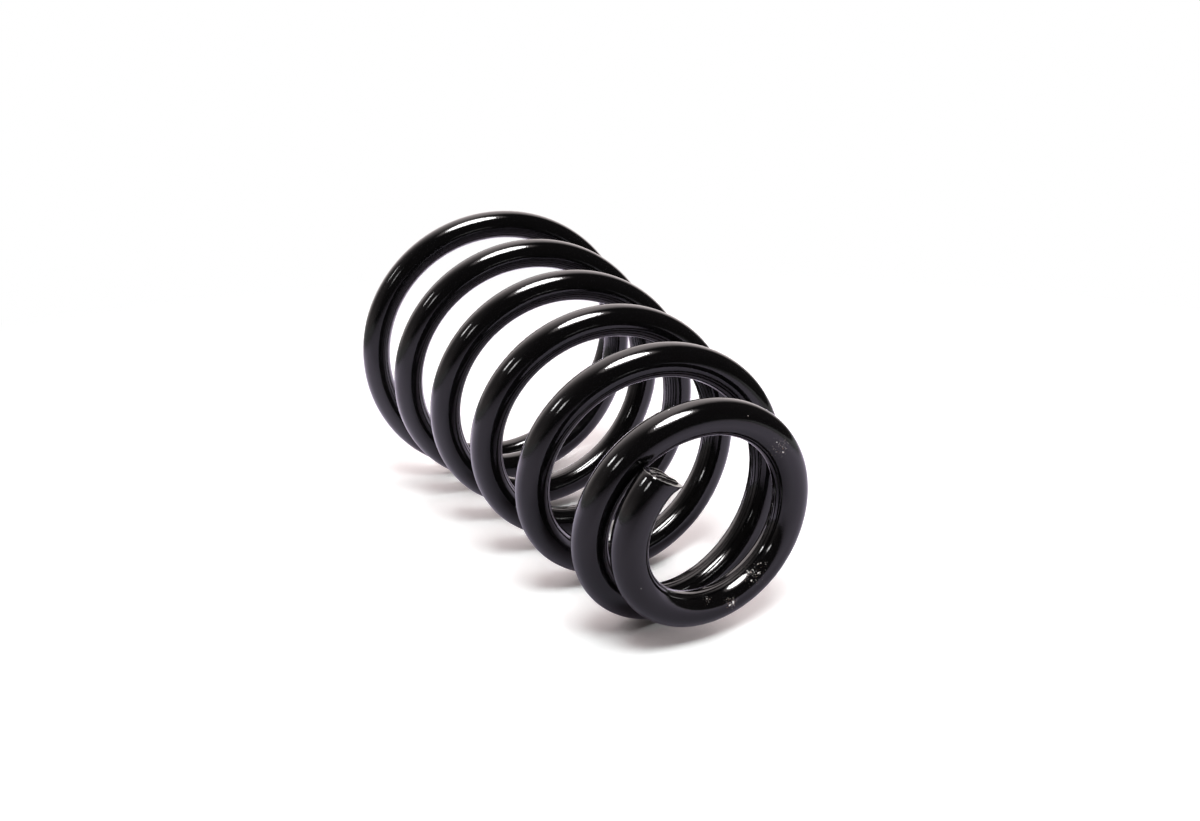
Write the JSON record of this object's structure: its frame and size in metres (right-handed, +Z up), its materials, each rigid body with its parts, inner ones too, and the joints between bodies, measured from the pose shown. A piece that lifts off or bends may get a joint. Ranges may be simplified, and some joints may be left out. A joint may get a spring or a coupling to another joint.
{
  "type": "conical compression spring",
  "caption": "Conical compression spring of round black-coated wire, wound left-handed, with a closed pigtail at its small end and a flat coil at its large end, lying on its side.",
  "frame": {"origin": "middle of the footprint on the floor that the spring lies on", "axes": "+Z up from the floor, +Y along the lying spring from its small end to its large end, +X to the right when looking along +Y"},
  "size_m": [0.1324, 0.2114, 0.1281],
  "materials": {
    "black_coat": "gloss"
  },
  "bodies": {
    "root": {"spring_coil": "black_coat"}
  },
  "joints": []
}
